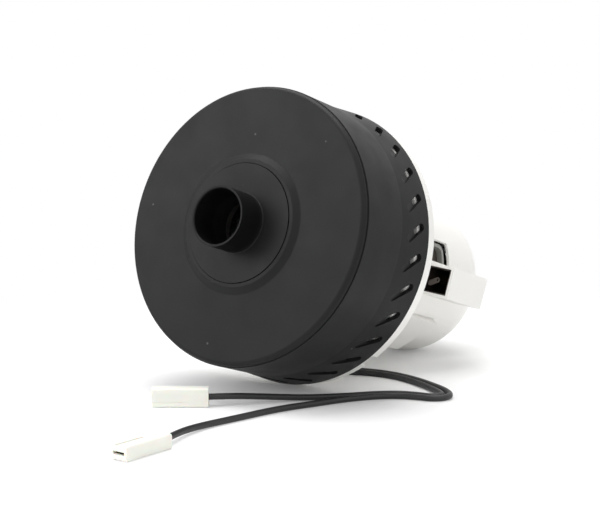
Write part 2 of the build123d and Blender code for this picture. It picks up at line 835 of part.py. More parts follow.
def make_armature_winding():
    """Copper in the slots and the crowned end turns on both sides."""
    outer = armature_radius - winding_sink
    front = ring(winding_inner_radius, outer, armature_front, armature_front + winding_overhang)
    rear = ring(winding_inner_radius, outer, armature_rear - winding_overhang, armature_rear)
    front = fillet(circles_at(front, armature_front + winding_overhang, outer), winding_round)
    rear = fillet(circles_at(rear, armature_rear - winding_overhang, outer), winding_round)
    bar = block(armature_radius - armature_slot_depth, outer, armature_slot_width, armature_rear, armature_front)
    return front + rear + around(bar, armature_slot_count)


def make_commutator():
    """Copper bars, each a solid of its own."""
    step = full_turn / commutator_bar_count
    bar = ring(commutator_radius - commutator_depth, commutator_radius, commutator_rear, commutator_front,
               0, step - commutator_bar_gap_angle)
    return Compound(children=around(bar, commutator_bar_count))


def make_commutator_hub():
    hub = ring(shaft_radius, commutator_radius - commutator_depth, commutator_rear, commutator_front)
    sleeve = ring(shaft_radius, armature_sleeve_radius, commutator_front, armature_rear)
    return hub + sleeve


def make_cooling_fan():
    plate_rear = cooling_fan_front - cooling_fan_plate
    fan = ring(shaft_radius, cooling_fan_radius, plate_rear, cooling_fan_front)
    fan += ring(shaft_radius, cooling_fan_hub_radius, plate_rear - cooling_fan_blade, commutator_rear)
    vane = block(cooling_fan_hub_radius - shaft_radius / 2, cooling_fan_radius, cooling_fan_blade_thickness,
                 plate_rear - cooling_fan_blade, plate_rear)
    return fan + around(vane, cooling_fan_blade_count)


# Stator

def stator_profile():
    outer = Circle(stator_outer_radius)
    return outer & Rectangle(2 * barrel_radius, 2 * stator_flat)


def make_stator_core():
    low = stator_rear - overrun
    high = stator_front + overrun
    core = extrude(Pos(0, 0, stator_rear) * stator_profile(), stator_front - stator_rear)
    core -= rod(stator_bore_radius, low, high)
    for side in (0, half_turn):
        core -= ring(stator_bore_radius - overrun, stator_pocket_radius, low, high,
                     side - stator_pocket_angle, side + stator_pocket_angle)
        for start, end in (
            (stator_channel_start_angle, stator_channel_end_angle),
            (stator_notch_start_angle, stator_notch_end_angle),
        ):
            core -= ring(stator_channel_radius, barrel_radius, low, high, side + start, side + end)
    hole = rod(stator_screw_radius + seat_clearance, low, high)
    return core - around(Pos(stator_screw_circle, 0, 0) * hole, stator_screw_count, stator_ledge_first)


def make_field_coil(turn):
    """One field coil round its pole: two sides in the pockets and two ends across."""
    inner = stator_bore_radius + seat_clearance * 2
    low = stator_rear - coil_overhang
    high = stator_front + coil_overhang
    edge = stator_pocket_angle - coil_edge_angle
    coil = ring(inner, coil_radius, low, high, coil_gap_angle, edge)
    coil += ring(inner, coil_radius, low, high, half_turn - edge, half_turn - coil_gap_angle)
    coil += ring(inner, coil_radius, low, low + coil_end_thickness, edge, half_turn - edge)
    coil += ring(inner, coil_radius, high - coil_end_thickness, high, edge, half_turn - edge)
    return Rot(0, 0, turn) * coil


def make_coil_guard(turn):
    """Insulating frame with rounded corners in the stator's channel, behind the barrel's window."""
    half_angle = (guard_end_angle - guard_start_angle) / 2
    inner = stator_channel_radius + stator_clearance
    width = 2 * stator_outer_radius * sin(radians(half_angle))
    length = guard_front - stator_rear
    plane = Plane(origin=(0, 0, (guard_front + stator_rear) / 2), x_dir=(0, 0, 1), z_dir=(1, 0, 0))
    frame = ring(inner, stator_outer_radius, stator_rear, guard_front, -2 * half_angle, 2 * half_angle)
    frame = frame & extrude(plane * RectangleRounded(length, width, guard_corner), barrel_radius)
    hole = RectangleRounded(length - 2 * guard_border, width - 2 * guard_border, guard_corner - guard_border / 2)
    frame -= extrude(plane * hole, barrel_radius)
    return Rot(0, 0, turn + guard_start_angle + half_angle) * frame


# Brush gear

def box_liner():
    """Dark moulded lining of the brush box, open towards its mouth and pierced by the tube."""
    shift = liner_clearance + liner_wall
    depth = box_height - 2 * (box_wall + liner_clearance)
    rear = box_rear + box_wall + liner_clearance
    front = box_front - liner_sink
    end = box_reach - box_wall - liner_clearance
    body = block(barrel_inner_radius, end, depth, rear, front)
    body -= rod(barrel_radius + liner_clearance, rear - overrun, front + overrun)
    hollow = block(barrel_inner_radius, end - liner_wall, depth - 2 * liner_wall, rear + liner_wall, front + overrun)
    hollow -= rod(barrel_radius + shift, rear - overrun, front + 2 * overrun)
    body -= hollow
    return body - block(barrel_inner_radius, barrel_radius + shift + overrun, tube_height,
                        brush_axis_height - tube_width / 2, brush_axis_height + tube_width / 2)


def make_brush_holder(angle):
    """Moulded block that carries the brush tube inside the barrel, and the lining of its box."""
    width = tube_width + 2 * holder_margin
    depth = tube_height + 2 * holder_margin
    low = brush_axis_height - width / 2
    body = block(holder_inner_end, barrel_inner_radius, depth, low, low + width)
    body = body & rod(barrel_inner_radius - seat_clearance / 2, low - overrun, low + width + overrun)
    body -= block(holder_inner_end - overrun, barrel_inner_radius + overrun, tube_height,
                  brush_axis_height - tube_width / 2, brush_axis_height + tube_width / 2)
    return Compound(children=[Rot(0, 0, angle) * body, Rot(0, 0, angle) * box_liner()])


def make_brush_tube(angle):
    inner_end = commutator_radius + tube_inner_gap
    tube = block(inner_end, tube_outer_end, tube_height, brush_axis_height - tube_width / 2,
                 brush_axis_height + tube_width / 2)
    width = brush_width + 2 * running_clearance
    height = brush_height + 2 * running_clearance
    tube -= block(inner_end - overrun, tube_outer_end + overrun, height, brush_axis_height - width / 2,
                  brush_axis_height + width / 2)
    return Rot(0, 0, angle) * tube


def make_brush_cap(angle):
    """Cap over the tube's outer end, which the spring bears on."""
    low = brush_axis_height - tube_width / 2 - cap_rim
    high = brush_axis_height + tube_width / 2 + cap_rim
    cap = block(tube_outer_end, tube_outer_end + cap_thickness, tube_height + 2 * cap_rim, low, high)
    return Rot(0, 0, angle) * cap


def make_carbon_brush(angle):
    """Carbon block with its face hollowed to the commutator."""
    brush = block(commutator_radius - overrun, brush_tip + brush_length, brush_height,
                  brush_axis_height - brush_width / 2, brush_axis_height + brush_width / 2)
    brush -= rod(brush_tip, commutator_rear - overrun, commutator_front + overrun)
    return Rot(0, 0, angle) * brush


def make_brush_spring(angle):
    """Coil spring between the brush and the cap, one wire wound on half-turn arcs."""
    start = brush_tip + brush_length + spring_wire
    end = tube_outer_end - spring_wire
    pitch = (end - start - spring_wire) / spring_turns
    print("brush spring, least gap between turns", round(pitch - spring_wire, 2))
    path = Helix(pitch, pitch * spring_turns, spring_radius)
    profile = Plane(origin=path @ 0, z_dir=path % 0) * Circle(spring_wire / 2)
    coil = sweep(profile, path=path, is_frenet=True)
    laid = Pos(start + spring_wire / 2, 0, brush_axis_height) * Rot(0, 90, 0) * coil
    return Rot(0, 0, angle) * laid


def make_brush_terminal(angle):
    """Bent strip from the tube to the box's mouth, where it ends in a slanted lug with a hole."""
    front = box_front - terminal_sink
    low = front - terminal_thickness
    half = terminal_thickness / 2
    stem = block(-half, half, terminal_width, brush_axis_height + tube_width / 2, front)
    lug = Pos(terminal_reach / 2 - terminal_width / 2, 0, low) * SlotOverall(terminal_reach, terminal_width)
    lug = extrude(lug, terminal_thickness)
    lug -= Pos(terminal_reach - terminal_width, 0, 0) * rod(terminal_hole_radius, low - overrun, front + overrun)
    strip = stem + Rot(0, 0, terminal_tilt) * lug
    return Rot(0, 0, angle) * Pos(barrel_radius + terminal_lift, -terminal_drop, 0) * strip


# Fasteners

def make_hood_screws():
    piece = Pos(0, 0, -flange_depth + seat_clearance) * screw(hood_screw_radius, hood_screw_length,
                                                             hood_screw_head_radius, hood_screw_head_height)
    return Compound(children=around(Pos(hood_pillar_circle, 0, 0) * piece, hood_pillar_count, hood_pillar_angle))


def make_bracket_screws():
    piece = screw(bracket_screw_radius, bracket_screw_length, bracket_screw_head_radius,
                  bracket_screw_head_height)
    piece = Pos(0, 0, bracket_front) * Rot(half_turn, 0, 0) * piece
    return Compound(children=around(Pos(bracket_screw_circle, 0, 0) * piece, bracket_screw_count,
                                    bracket_screw_angle))


def make_stator_screws():
    length = stator_front - stator_rear + stator_screw_overhang
    piece = screw(stator_screw_radius, length, stator_screw_head_radius, stator_screw_head_height)
    piece = Pos(0, 0, stator_front) * Rot(half_turn, 0, 0) * piece
    return Compound(children=around(Pos(stator_screw_circle, 0, 0) * piece, stator_screw_count,
                                    stator_ledge_first))


# Leads and connectors, in the row's frame

def lead_radii(name, route):
    """Arc radius at each inner point of a route, as large as its two runs allow."""
    points = [Vector(*point) for point in route]
    radii = []
    for before, point, after in zip(points, points[1:], points[2:]):
        into = point - before
        out = after - point
        half_turn = radians(into.get_angle(out)) / 2
        radii.append(0.45 * min(into.length, out.length) / tan(half_turn))
    print(name, "arc radii", [round(radius, 1) for radius in radii])
    return radii


def make_lead(name, route):
    path = FilletPolyline(*route, radius=lead_radii(name, route))
    profile = Plane(origin=path @ 0, z_dir=path % 0) * Circle(lead_radius)
    tube = sweep(profile, path=path)
    print(name, "length", round(path.length, 1), "volume", round(tube.volume, 1),
          "section times length", round(pi * lead_radius ** 2 * path.length, 1))
    return tube


def connector_shape():
    """Push-on connector housing along X, its lead entry at zero, height along Y, thickness along Z."""
    body = Pos(connector_length / 2, 0, 0) * Box(connector_length, connector_height, connector_thickness)
    body = fillet(body.edges().filter_by(Axis.X), connector_round)
    body = chamfer(body.faces().sort_by(Axis.X)[-1].edges(), connector_nose)
    step = Pos(connector_length - connector_step_length / 2, 0, 0)
    for side in (-1, 1):
        level = side * connector_thickness / 2
        body -= step * Pos(0, 0, level) * Box(connector_step_length + overrun, connector_height / 2,
                                             2 * connector_step)
    mouth = Box(connector_mouth_wall + connector_chamber_length / 2, connector_mouth_height,
                connector_mouth_thickness, align=(Align.MAX, Align.CENTER, Align.CENTER))
    body -= Pos(connector_length, 0, 0) * mouth
    chamber = Box(connector_chamber_length, connector_chamber_height, connector_chamber_thickness,
                  align=(Align.MAX, Align.CENTER, Align.CENTER))
    body -= Pos(connector_length - connector_mouth_wall, 0, 0) * chamber
    plane = Plane(origin=(0, 0, 0), z_dir=(1, 0, 0))
    body -= extrude(plane * Circle(lead_radius), connector_lead_socket)
    return body


def receptacle_shape():
    """Brass receptacle in the connector's chamber, open along X."""
    end = connector_length - connector_mouth_wall
    body = Pos(end, 0, 0) * Box(connector_chamber_length, receptacle_height, receptacle_thickness,
                                align=(Align.MAX, Align.CENTER, Align.CENTER))
    hollow = Box(connector_chamber_length, receptacle_height - 2 * receptacle_wall,
                 receptacle_thickness - 2 * receptacle_wall, align=(Align.MAX, Align.CENTER, Align.CENTER))
    return body - Pos(end + receptacle_wall, 0, 0) * hollow


def connector_place(route, heading, on_edge):
    """Frame of a connector at the end of its lead."""
    forward = Vector(*heading).normalized()
    upward = Vector(0, 0, 1)
    z_dir = forward.cross(upward) if on_edge else upward
    return Plane(origin=route[-1], x_dir=forward, z_dir=z_dir).location


# All pieces

def motor_pieces():
    """Pieces in the motor's own frame."""
    front_outer, front_inner = bearing_rings(front_bearing_rear)
    rear_outer, rear_inner = bearing_rings(rear_bearing_rear)
    pieces = {
        "inlet_hood": make_inlet_hood(),
        "inlet_spigot": make_inlet_spigot(),
        "inlet_seal": make_inlet_seal(),
        "motor_housing": make_motor_housing(),
        "lead_grommet": make_lead_grommet(),
        "bearing_bracket": make_bearing_bracket(),
        "fan_shroud": make_fan_shroud(),
        "guide_plate": make_guide_plate(),
        "impeller_rear": make_impeller(impeller_rear_base),
        "impeller_front": make_impeller(impeller_front_base),
        "impeller_spacer": make_impeller_spacer(),
        "fan_washers": make_fan_washers(),
        "fan_nut": make_fan_nut(),
        "motor_shaft": make_motor_shaft(),
        "front_bearing_outer": front_outer,
        "front_bearing_inner": front_inner,
        "front_bearing_balls": bearing_balls(front_bearing_rear),
        "front_bearing_cage": bearing_cage(front_bearing_rear),
        "rear_bearing_outer": rear_outer,
        "rear_bearing_inner": rear_inner,
        "rear_bearing_balls": bearing_balls(rear_bearing_rear),
        "rear_bearing_cage": bearing_cage(rear_bearing_rear),
        "armature_core": make_armature_core(),
        "armature_winding": make_armature_winding(),
        "commutator": make_commutator(),
        "commutator_hub": make_commutator_hub(),
        "cooling_fan": make_cooling_fan(),
        "stator_core": make_stator_core(),
        "field_coil_upper": make_field_coil(0),
        "field_coil_lower": make_field_coil(half_turn),
        "coil_guard_right": make_coil_guard(0),
        "coil_guard_left": make_coil_guard(half_turn),
        "hood_screws": make_hood_screws(),
        "bracket_screws": make_bracket_screws(),
        "stator_screws": make_stator_screws(),
    }
    for side, angle in (("right", box_angle), ("left", box_angle + half_turn)):
        pieces["brush_holder_" + side] = make_brush_holder(angle)
        pieces["brush_tube_" + side] = make_brush_tube(angle)
        pieces["brush_cap_" + side] = make_brush_cap(angle)
        pieces["carbon_brush_" + side] = make_carbon_brush(angle)
        pieces["brush_spring_" + side] = make_brush_spring(angle)
        pieces["brush_terminal_" + side] = make_brush_terminal(angle)
    return pieces


def lead_pieces():
    """Leads, connectors and receptacles, already where they lie."""
    pieces = {}
    leads = (
        ("one", lead_one_route, connector_one_heading, True),
        ("two", lead_two_route, connector_two_heading, False),
    )
    for name, route, heading, on_edge in leads:
        place = connector_place(route, heading, on_edge)
        pieces["lead_" + name] = make_lead("lead_" + name, route)
        pieces["connector_" + name] = place * connector_shape()
        pieces["terminal_" + name] = place * receptacle_shape()
    return pieces


os.makedirs("parts", exist_ok=True)
print("lean of the axis", round(degrees(lean), 3), "axis height", round(axis_height, 3),
      "shift along Y", round((front_reach - rear_reach) / 2, 3))
for name, piece in motor_pieces().items():
    export_step(laid_down * piece, "parts/" + name + ".step")
for name, piece in lead_pieces().items():
    export_step(piece, "parts/" + name + ".step")
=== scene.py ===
import json
import math

import bpy
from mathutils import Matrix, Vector


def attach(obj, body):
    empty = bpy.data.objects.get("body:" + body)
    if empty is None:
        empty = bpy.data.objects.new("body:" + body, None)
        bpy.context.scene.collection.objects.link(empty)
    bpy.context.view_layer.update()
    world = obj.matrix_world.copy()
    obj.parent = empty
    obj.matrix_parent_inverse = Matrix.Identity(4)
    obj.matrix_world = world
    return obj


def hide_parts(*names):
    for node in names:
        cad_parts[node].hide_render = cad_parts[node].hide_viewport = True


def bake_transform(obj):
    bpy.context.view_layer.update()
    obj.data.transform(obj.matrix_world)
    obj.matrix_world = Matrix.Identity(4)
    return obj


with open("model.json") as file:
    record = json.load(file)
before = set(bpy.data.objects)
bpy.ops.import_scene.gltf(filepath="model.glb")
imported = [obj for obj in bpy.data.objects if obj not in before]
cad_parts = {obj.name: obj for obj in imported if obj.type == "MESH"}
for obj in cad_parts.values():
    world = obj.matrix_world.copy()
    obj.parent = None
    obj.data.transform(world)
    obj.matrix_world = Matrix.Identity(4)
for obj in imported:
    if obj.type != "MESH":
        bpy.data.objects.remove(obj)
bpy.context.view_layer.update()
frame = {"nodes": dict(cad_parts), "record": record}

MM = 0.001

# The camera stands where the photograph was taken from
CAMERA_AZIMUTH = 35.144
CAMERA_ELEVATION = 7.488
CAMERA_PLACE_MM = (454.65, -682.41, 176.53)
CAMERA_LENS_MM = 84.0
CAMERA_SENSOR_MM = 36.0

# Studio: sizes in metres, strengths in Blender's units. Each lamp has its place, its size and its power.
WORLD_STRENGTH = 0.46
LAMPS = {
    "key": ((-0.95, -1.25, 0.95), 1.3, 15.5),
    "top": ((-0.2, 0.1, 1.5), 1.2, 20.5),
    "fill": ((1.25, -0.35, 0.85), 1.1, 2.6),
}
LIGHT_TARGET = (0.0, 0.0, 0.06)
FLOOR_SIZE = 8.0
# The floor turns plain white between these two distances from the middle
FLOOR_SHADOW_REACH = 0.03
FLOOR_WHITE_REACH = 0.36

# Leads: the routes of the two tubes of the frame, in millimetres
LEAD_DIAMETER_MM = 3.4
LEAD_ROUND_STEPS = 6
LEAD_SPAN_STEPS = 16
LEAD_CURVE_ORDER = 3
LEAD_ONE_ROUTE_MM = [
    (0.0, -10.3, 21.0),
    (0.0, -12.7, 12.6),
    (1.4, -14.2, 6.0),
    (5.0, -13.2, 2.2),
    (11.5, -9.6, 1.7),
    (20.5, -5.2, 1.7),
    (31.8, -2.7, 1.7),
    (44.3, -3.3, 1.7),
    (57.2, -7.6, 1.7),
    (70.6, -14.4, 1.7),
    (80.6, -20.8, 1.7),
    (88.4, -27.0, 1.7),
    (89.2, -31.4, 1.7),
    (86.4, -34.8, 1.7),
    (78.2, -35.6, 1.7),
    (67.5, -38.9, 1.7),
    (57.6, -47.1, 1.7),
    (49.4, -57.6, 1.7),
    (41.2, -67.2, 1.8),
    (32.2, -77.4, 2.1),
    (22.4, -87.4, 3.0),
    (13.2, -97.6, 4.1),
    (4.6, -107.2, 5.0),
    (-3.1, -116.2, 5.2),
]
LEAD_TWO_ROUTE_MM = [
    (0.0, -5.9, 19.7),
    (0.0, -8.3, 11.4),
    (1.0, -9.6, 5.2),
    (4.0, -8.2, 2.1),
    (9.8, -4.8, 1.7),
    (18.6, -0.9, 1.7),
    (31.0, 1.6, 1.7),
    (45.0, 0.6, 1.7),
    (59.0, -3.8, 1.7),
    (73.0, -10.6, 1.7),
    (84.6, -17.4, 1.7),
    (92.4, -24.8, 1.7),
    (93.8, -32.2, 1.7),
    (89.0, -38.6, 1.7),
    (80.2, -40.0, 1.7),
    (70.6, -43.2, 1.7),
    (61.8, -50.6, 1.7),
    (54.6, -60.6, 1.7),
    (48.6, -72.0, 1.7),
    (43.2, -85.2, 1.7),
    (37.0, -98.6, 1.7),
    (32.6, -112.6, 1.7),
    (29.8, -127.2, 1.7),
    (26.6, -141.8, 1.7),
    (24.4, -156.2, 2.0),
    (25.2, -169.8, 2.7),
    (28.2, -181.6, 3.4),
    (30.9, -192.2, 3.7),
]
LEAD_ONE_LENGTH_MM = 243.0
LEAD_TWO_LENGTH_MM = 309.0

# Directions in which the brushes slide outwards
SLIDE_DIRECTIONS = {
    "left": (-0.993768, 0.031032, 0.107062),
    "right": (0.993768, -0.031032, -0.107062),
}

# The inlet tube is darker than the hood, partly its own blacker tone and partly painted shade: direction of
# the shaft towards the inlet, and the distances along it between which the darker colour with its painted
# shade sets in
SHAFT_DIRECTION = (0.0, -0.96047, 0.27839)
TUBE_TONE_AND_SHADE_FROM_MM = 117.6
TUBE_TONE_AND_SHADE_TO_MM = 121.0

# Textures: range of a noise that counts, and the spots on the mouldings
NOISE_LOW = 0.3
NOISE_HIGH = 0.7
SPECK_SIZE = 0.05
SPECK_EDGE = 1.6
SPECK_CHOICE_LOW = 0.9
SPECK_CHOICE_HIGH = 0.92

# Bare metals: colour, roughness, stretch of the grain and amount of dirt
EVEN = (1, 1, 1)
METALS = {
    "cast_aluminium": ((0.55, 0.55, 0.55), 0.5, EVEN, 0.35),
    "sheet_aluminium": ((0.70, 0.70, 0.70), 0.34, (1, 6, 1), 0.3),
    "shroud_metal": ((0.14, 0.135, 0.12), 0.45, EVEN, 0.5),
    "plain_steel": ((0.56, 0.56, 0.56), 0.28, (8, 1, 1), 0.3),
    "zinc_steel": ((0.60, 0.60, 0.62), 0.32, EVEN, 0.3),
    "bearing_steel": ((0.62, 0.62, 0.63), 0.16, EVEN, 0.1),
    "spring_steel": ((0.45, 0.45, 0.45), 0.3, EVEN, 0.3),
    "brass": ((0.66, 0.48, 0.20), 0.32, EVEN, 0.4),
    "dull_brass": ((0.13, 0.11, 0.10), 0.45, EVEN, 0.5),
    "commutator_copper": ((0.60, 0.30, 0.17), 0.28, (1, 8, 1), 0.3),
}
METAL_DIRT_SCALE = 70
METAL_DIRT_SHADE = 0.55
METAL_GRAIN_SCALE = 400.0
METAL_SMOOTHER = 0.08
METAL_ROUGHER = 0.12

# Dull mouldings and carbon: colour, roughness and amount of speckle
DULL_PIECES = {
    "brown_moulding": ((0.020, 0.014, 0.011), 0.5, 0.4),
    "grey_insulator": ((0.22, 0.22, 0.205), 0.5, 0.3),
    "fan_plastic": ((0.05, 0.05, 0.05), 0.5, 0.3),
    "brush_carbon": ((0.03, 0.03, 0.033), 0.6, 0.6),
}
SPECKLE_SCALE = 250
SPECKLE_LIGHTER = 1.6


# Materials

class Finish:
    """A node material built step by step round one Principled shader, on the piece's own coordinates."""

    def __init__(self, name, color, roughness, metallic=0.0):
        self.material = bpy.data.materials.new(name)
        self.material.use_nodes = True
        self.tree = self.material.node_tree
        self.shader = self.tree.nodes["Principled BSDF"]
        self.shader.inputs["Base Color"].default_value = (*color, 1)
        self.shader.inputs["Roughness"].default_value = roughness
        self.shader.inputs["Metallic"].default_value = metallic
        self.color = color
        self.place = self.node("ShaderNodeTexCoord").outputs["Object"]
        self.bumps = None

    def node(self, kind, values=None, **settings):
        """A new node with values on its inputs and settings of its own."""
        made = self.tree.nodes.new(kind)
        for key, value in settings.items():
            setattr(made, key, value)
        for key, value in (values or {}).items():
            made.inputs[key].default_value = value
        return made

    def link(self, source, target):
        self.tree.links.new(source, target)

    def set(self, **values):
        """Plain values on the shader's own sockets."""
        for key, value in values.items():
            self.shader.inputs[key.replace("_", " ")].default_value = value
        return self

    def noise(self, scale, detail=3, stretch=EVEN):
        """Noise factor at a scale per metre."""
        mapping = self.node("ShaderNodeMapping", {"Scale": stretch})
        texture = self.node("ShaderNodeTexNoise", {"Scale": scale, "Detail": detail})
        self.link(self.place, mapping.inputs["Vector"])
        self.link(mapping.outputs["Vector"], texture.inputs["Vector"])
        return texture.outputs["Fac"]

    def ranged(self, factor, low, high, to_low, to_high):
        """A factor moved from one range to another, clamped."""
        limits = {"From Min": low, "From Max": high, "To Min": to_low, "To Max": to_high}
        span = self.node("ShaderNodeMapRange", limits)
        self.link(factor, span.inputs["Value"])
        return span.outputs["Result"]

    def mottle(self, factor, color, amount):
        """Another colour mixed in where the factor is high, by up to an amount."""
        mix = self.node("ShaderNodeMix", data_type="RGBA")
        mix.inputs["A"].default_value = (*self.color, 1)
        before = self.shader.inputs["Base Color"]
        if before.is_linked:
            self.link(before.links[0].from_socket, mix.inputs["A"])
        mix.inputs["B"].default_value = (*color, 1)
        self.link(self.ranged(factor, 0.0, 1.0, 0.0, amount), mix.inputs["Factor"])
        self.link(mix.outputs["Result"], before)
        return self

    def rough(self, factor, low, high):
        """Roughness that follows a factor."""
        self.link(self.ranged(factor, NOISE_LOW, NOISE_HIGH, low, high), self.shader.inputs["Roughness"])
        return self

    def bump(self, factor, depth_mm, strength=1.0):
        """Relief of a depth, added over any relief there already is."""
        node = self.node("ShaderNodeBump", {"Strength": strength, "Distance": depth_mm * MM})
        self.link(factor, node.inputs["Height"])
        if self.bumps is not None:
            self.link(self.bumps, node.inputs["Normal"])
        self.bumps = node.outputs["Normal"]
        self.link(self.bumps, self.shader.inputs["Normal"])
        return self


def specks(finish, scale):
    """Factor that is one in small scattered spots."""
    cells = finish.node("ShaderNodeTexVoronoi", {"Scale": scale})
    finish.link(finish.place, cells.inputs["Vector"])
    rare = finish.node("ShaderNodeSeparateColor")
    finish.link(cells.outputs["Color"], rare.inputs["Color"])
    near = finish.ranged(cells.outputs["Distance"], SPECK_SIZE, SPECK_SIZE * SPECK_EDGE, 1.0, 0.0)
    chosen = finish.ranged(rare.outputs["Red"], SPECK_CHOICE_LOW, SPECK_CHOICE_HIGH, 0.0, 1.0)
    both = finish.node("ShaderNodeMath", operation="MULTIPLY")
    finish.link(near, both.inputs[0])
    finish.link(chosen, both.inputs[1])
    return both.outputs["Value"]


def tube_tone_and_shade(finish):
    """Factor that grows from the disc to the start of the inlet tube, where its blacker tone and painted
    shade set in.
    """
    axial = finish.node("ShaderNodeVectorMath", operation="DOT_PRODUCT")
    axial.inputs[1].default_value = SHAFT_DIRECTION
    finish.link(finish.place, axial.inputs[0])
    return finish.ranged(axial.outputs["Value"], TUBE_TONE_AND_SHADE_FROM_MM * MM, TUBE_TONE_AND_SHADE_TO_MM * MM, 0.0, 1.0)


def hood_plastic():
    """Black moulding with a fine satin grain."""
    finish = Finish("hood_plastic", color=(0.011, 0.011, 0.0115), roughness=0.5)
    finish.set(Specular_IOR_Level=0.15)
    finish.mottle(finish.noise(scale=28, detail=4), color=(0.015, 0.015, 0.015), amount=0.5)
    finish.mottle(specks(finish, scale=110), color=(0.3, 0.3, 0.29), amount=0.25)
    # Inlet tube painted near black: partly its own blacker tone, partly painted shade
    finish.mottle(tube_tone_and_shade(finish), color=(0.002, 0.002, 0.0024), amount=0.85)
    finish.rough(finish.noise(scale=60, detail=5), low=0.42, high=0.52)
    finish.bump(finish.noise(scale=1400, detail=2), depth_mm=0.05, strength=0.35)
    finish.bump(finish.noise(scale=90), depth_mm=0.08, strength=0.2)
    return finish.material


def white_plastic():
    """White moulding, hardly glossy, with a few spots."""
    finish = Finish("white_plastic", color=(0.89, 0.88, 0.85), roughness=0.42)
    finish.mottle(finish.noise(scale=20, detail=4), color=(0.92, 0.91, 0.88), amount=0.5)
    finish.mottle(specks(finish, scale=220), color=(0.35, 0.31, 0.25), amount=0.35)
    finish.rough(finish.noise(scale=50, detail=4), low=0.36, high=0.48)
    finish.bump(finish.noise(scale=900, detail=2), depth_mm=0.03, strength=0.3)
    return finish.material


def black_rubber():
    """Dull rubber of the seal and the grommet."""
    finish = Finish("black_rubber", color=(0.022, 0.022, 0.022), roughness=0.7)
    finish.mottle(finish.noise(scale=160, detail=4), color=(0.05, 0.05, 0.048), amount=0.4)
    finish.bump(finish.noise(scale=1200), depth_mm=0.06, strength=0.4)
    return finish.material


def lead_jacket():
    """Black insulation of the leads."""
    finish = Finish("lead_jacket", color=(0.024, 0.024, 0.025), roughness=0.45)
    finish.set(Specular_IOR_Level=0.35)
    finish.mottle(finish.noise(scale=120, detail=4), color=(0.042, 0.042, 0.042), amount=0.5)
    finish.rough(finish.noise(scale=200, detail=4), low=0.36, high=0.52)
    finish.bump(finish.noise(scale=700), depth_mm=0.05, strength=0.3)
    return finish.material


def cream_nylon():
    """Slightly translucent nylon of the connectors."""
    finish = Finish("cream_nylon", color=(0.88, 0.875, 0.80), roughness=0.38)
    finish.set(Subsurface_Weight=0.3, Subsurface_Scale=0.002)
    finish.mottle(finish.noise(scale=120), color=(0.92, 0.91, 0.86), amount=0.6)
    finish.bump(finish.noise(scale=800, detail=2), depth_mm=0.03, strength=0.3)
    return finish.material


def metal(name, color, roughness, grain, dirt):
    """Bare metal with a grain and a little dirt."""
    finish = Finish(name, color, roughness, metallic=1.0)
    dark = tuple(METAL_DIRT_SHADE * part for part in color)
    finish.mottle(finish.noise(METAL_DIRT_SCALE, detail=5), dark, dirt)
    lines = finish.noise(METAL_GRAIN_SCALE, stretch=grain)
    finish.rough(lines, roughness - METAL_SMOOTHER, roughness + METAL_ROUGHER)
    finish.bump(lines, depth_mm=0.02, strength=0.3)
    return finish.material


def dull_piece(name, color, roughness, speckle):
    """Dull moulding or carbon with a fine speckle."""
    finish = Finish(name, color, roughness)
    lighter = tuple(SPECKLE_LIGHTER * part for part in color)
    finish.mottle(finish.noise(SPECKLE_SCALE, detail=4), lighter, speckle)
    finish.bump(finish.noise(scale=900, detail=2), depth_mm=0.04, strength=0.4)
    return finish.material


def wave_lines(finish, scale, distortion, direction):
    """Factor that runs in fine parallel lines."""
    values = {"Scale": scale, "Distortion": distortion}
    lines = finish.node("ShaderNodeTexWave", values, bands_direction=direction)
    finish.link(finish.place, lines.inputs["Vector"])
    return lines.outputs["Fac"]


def laminations():
    """Stacked iron sheets: fine lines square to the shaft."""
    finish = Finish("iron_laminations", color=(0.12, 0.115, 0.105), roughness=0.5, metallic=0.7)
    lines = wave_lines(finish, scale=320.0, distortion=0.4, direction="Y")
    finish.mottle(lines, color=(0.06, 0.057, 0.053), amount=0.6)
    finish.mottle(finish.noise(scale=90, detail=5), color=(0.10, 0.07, 0.05), amount=0.8)
    finish.bump(lines, depth_mm=0.1, strength=0.5)
    return finish.material


def copper_winding():
    """Enamelled wire lying side by side."""
    finish = Finish("copper_winding", color=(0.42, 0.17, 0.07), roughness=0.35, metallic=0.7)
    wires = wave_lines(finish, scale=260.0, distortion=1.2, direction="X")
    finish.mottle(wires, color=(0.16, 0.06, 0.03), amount=0.7)
    finish.bump(wires, depth_mm=0.4, strength=0.8)
    return finish.material


def all_finishes():
    """Material of every slot of the record."""
    finishes = {
        "hood_plastic": hood_plastic(),
        "white_plastic": white_plastic(),
        "black_rubber": black_rubber(),
        "lead_jacket": lead_jacket(),
        "cream_nylon": cream_nylon(),
        "copper_winding": copper_winding(),
        "iron_laminations": laminations(),
    }
    for name, values in METALS.items():
        finishes[name] = metal(name, *values)
    for name, values in DULL_PIECES.items():
        finishes[name] = dull_piece(name, *values)
    return finishes


def dress_nodes(finishes):
    """Every node of the frame gets the material of its slot."""
    for row in frame["record"]["subparts"]:
        node = frame["nodes"][row["node"]]
        node.data.materials.clear()
        node.data.materials.append(finishes[row["material_slot"]])


# Leads

def lead_curve(name, route_mm):
    """Smooth round lead along its route."""
    curve = bpy.data.curves.new(name, "CURVE")
    curve.dimensions = "3D"
    curve.bevel_depth = LEAD_DIAMETER_MM / 2 * MM
    curve.bevel_resolution = LEAD_ROUND_STEPS
    curve.resolution_u = LEAD_SPAN_STEPS
    curve.use_fill_caps = True
    spline = curve.splines.new("NURBS")
    spline.points.add(len(route_mm) - 1)
    for point, place in zip(spline.points, route_mm):
        point.co = (*(value * MM for value in place), 1)
    spline.order_u = LEAD_CURVE_ORDER
    spline.use_endpoint_u = True
    piece = bpy.data.objects.new(name, curve)
    bpy.context.scene.collection.objects.link(piece)
    return piece


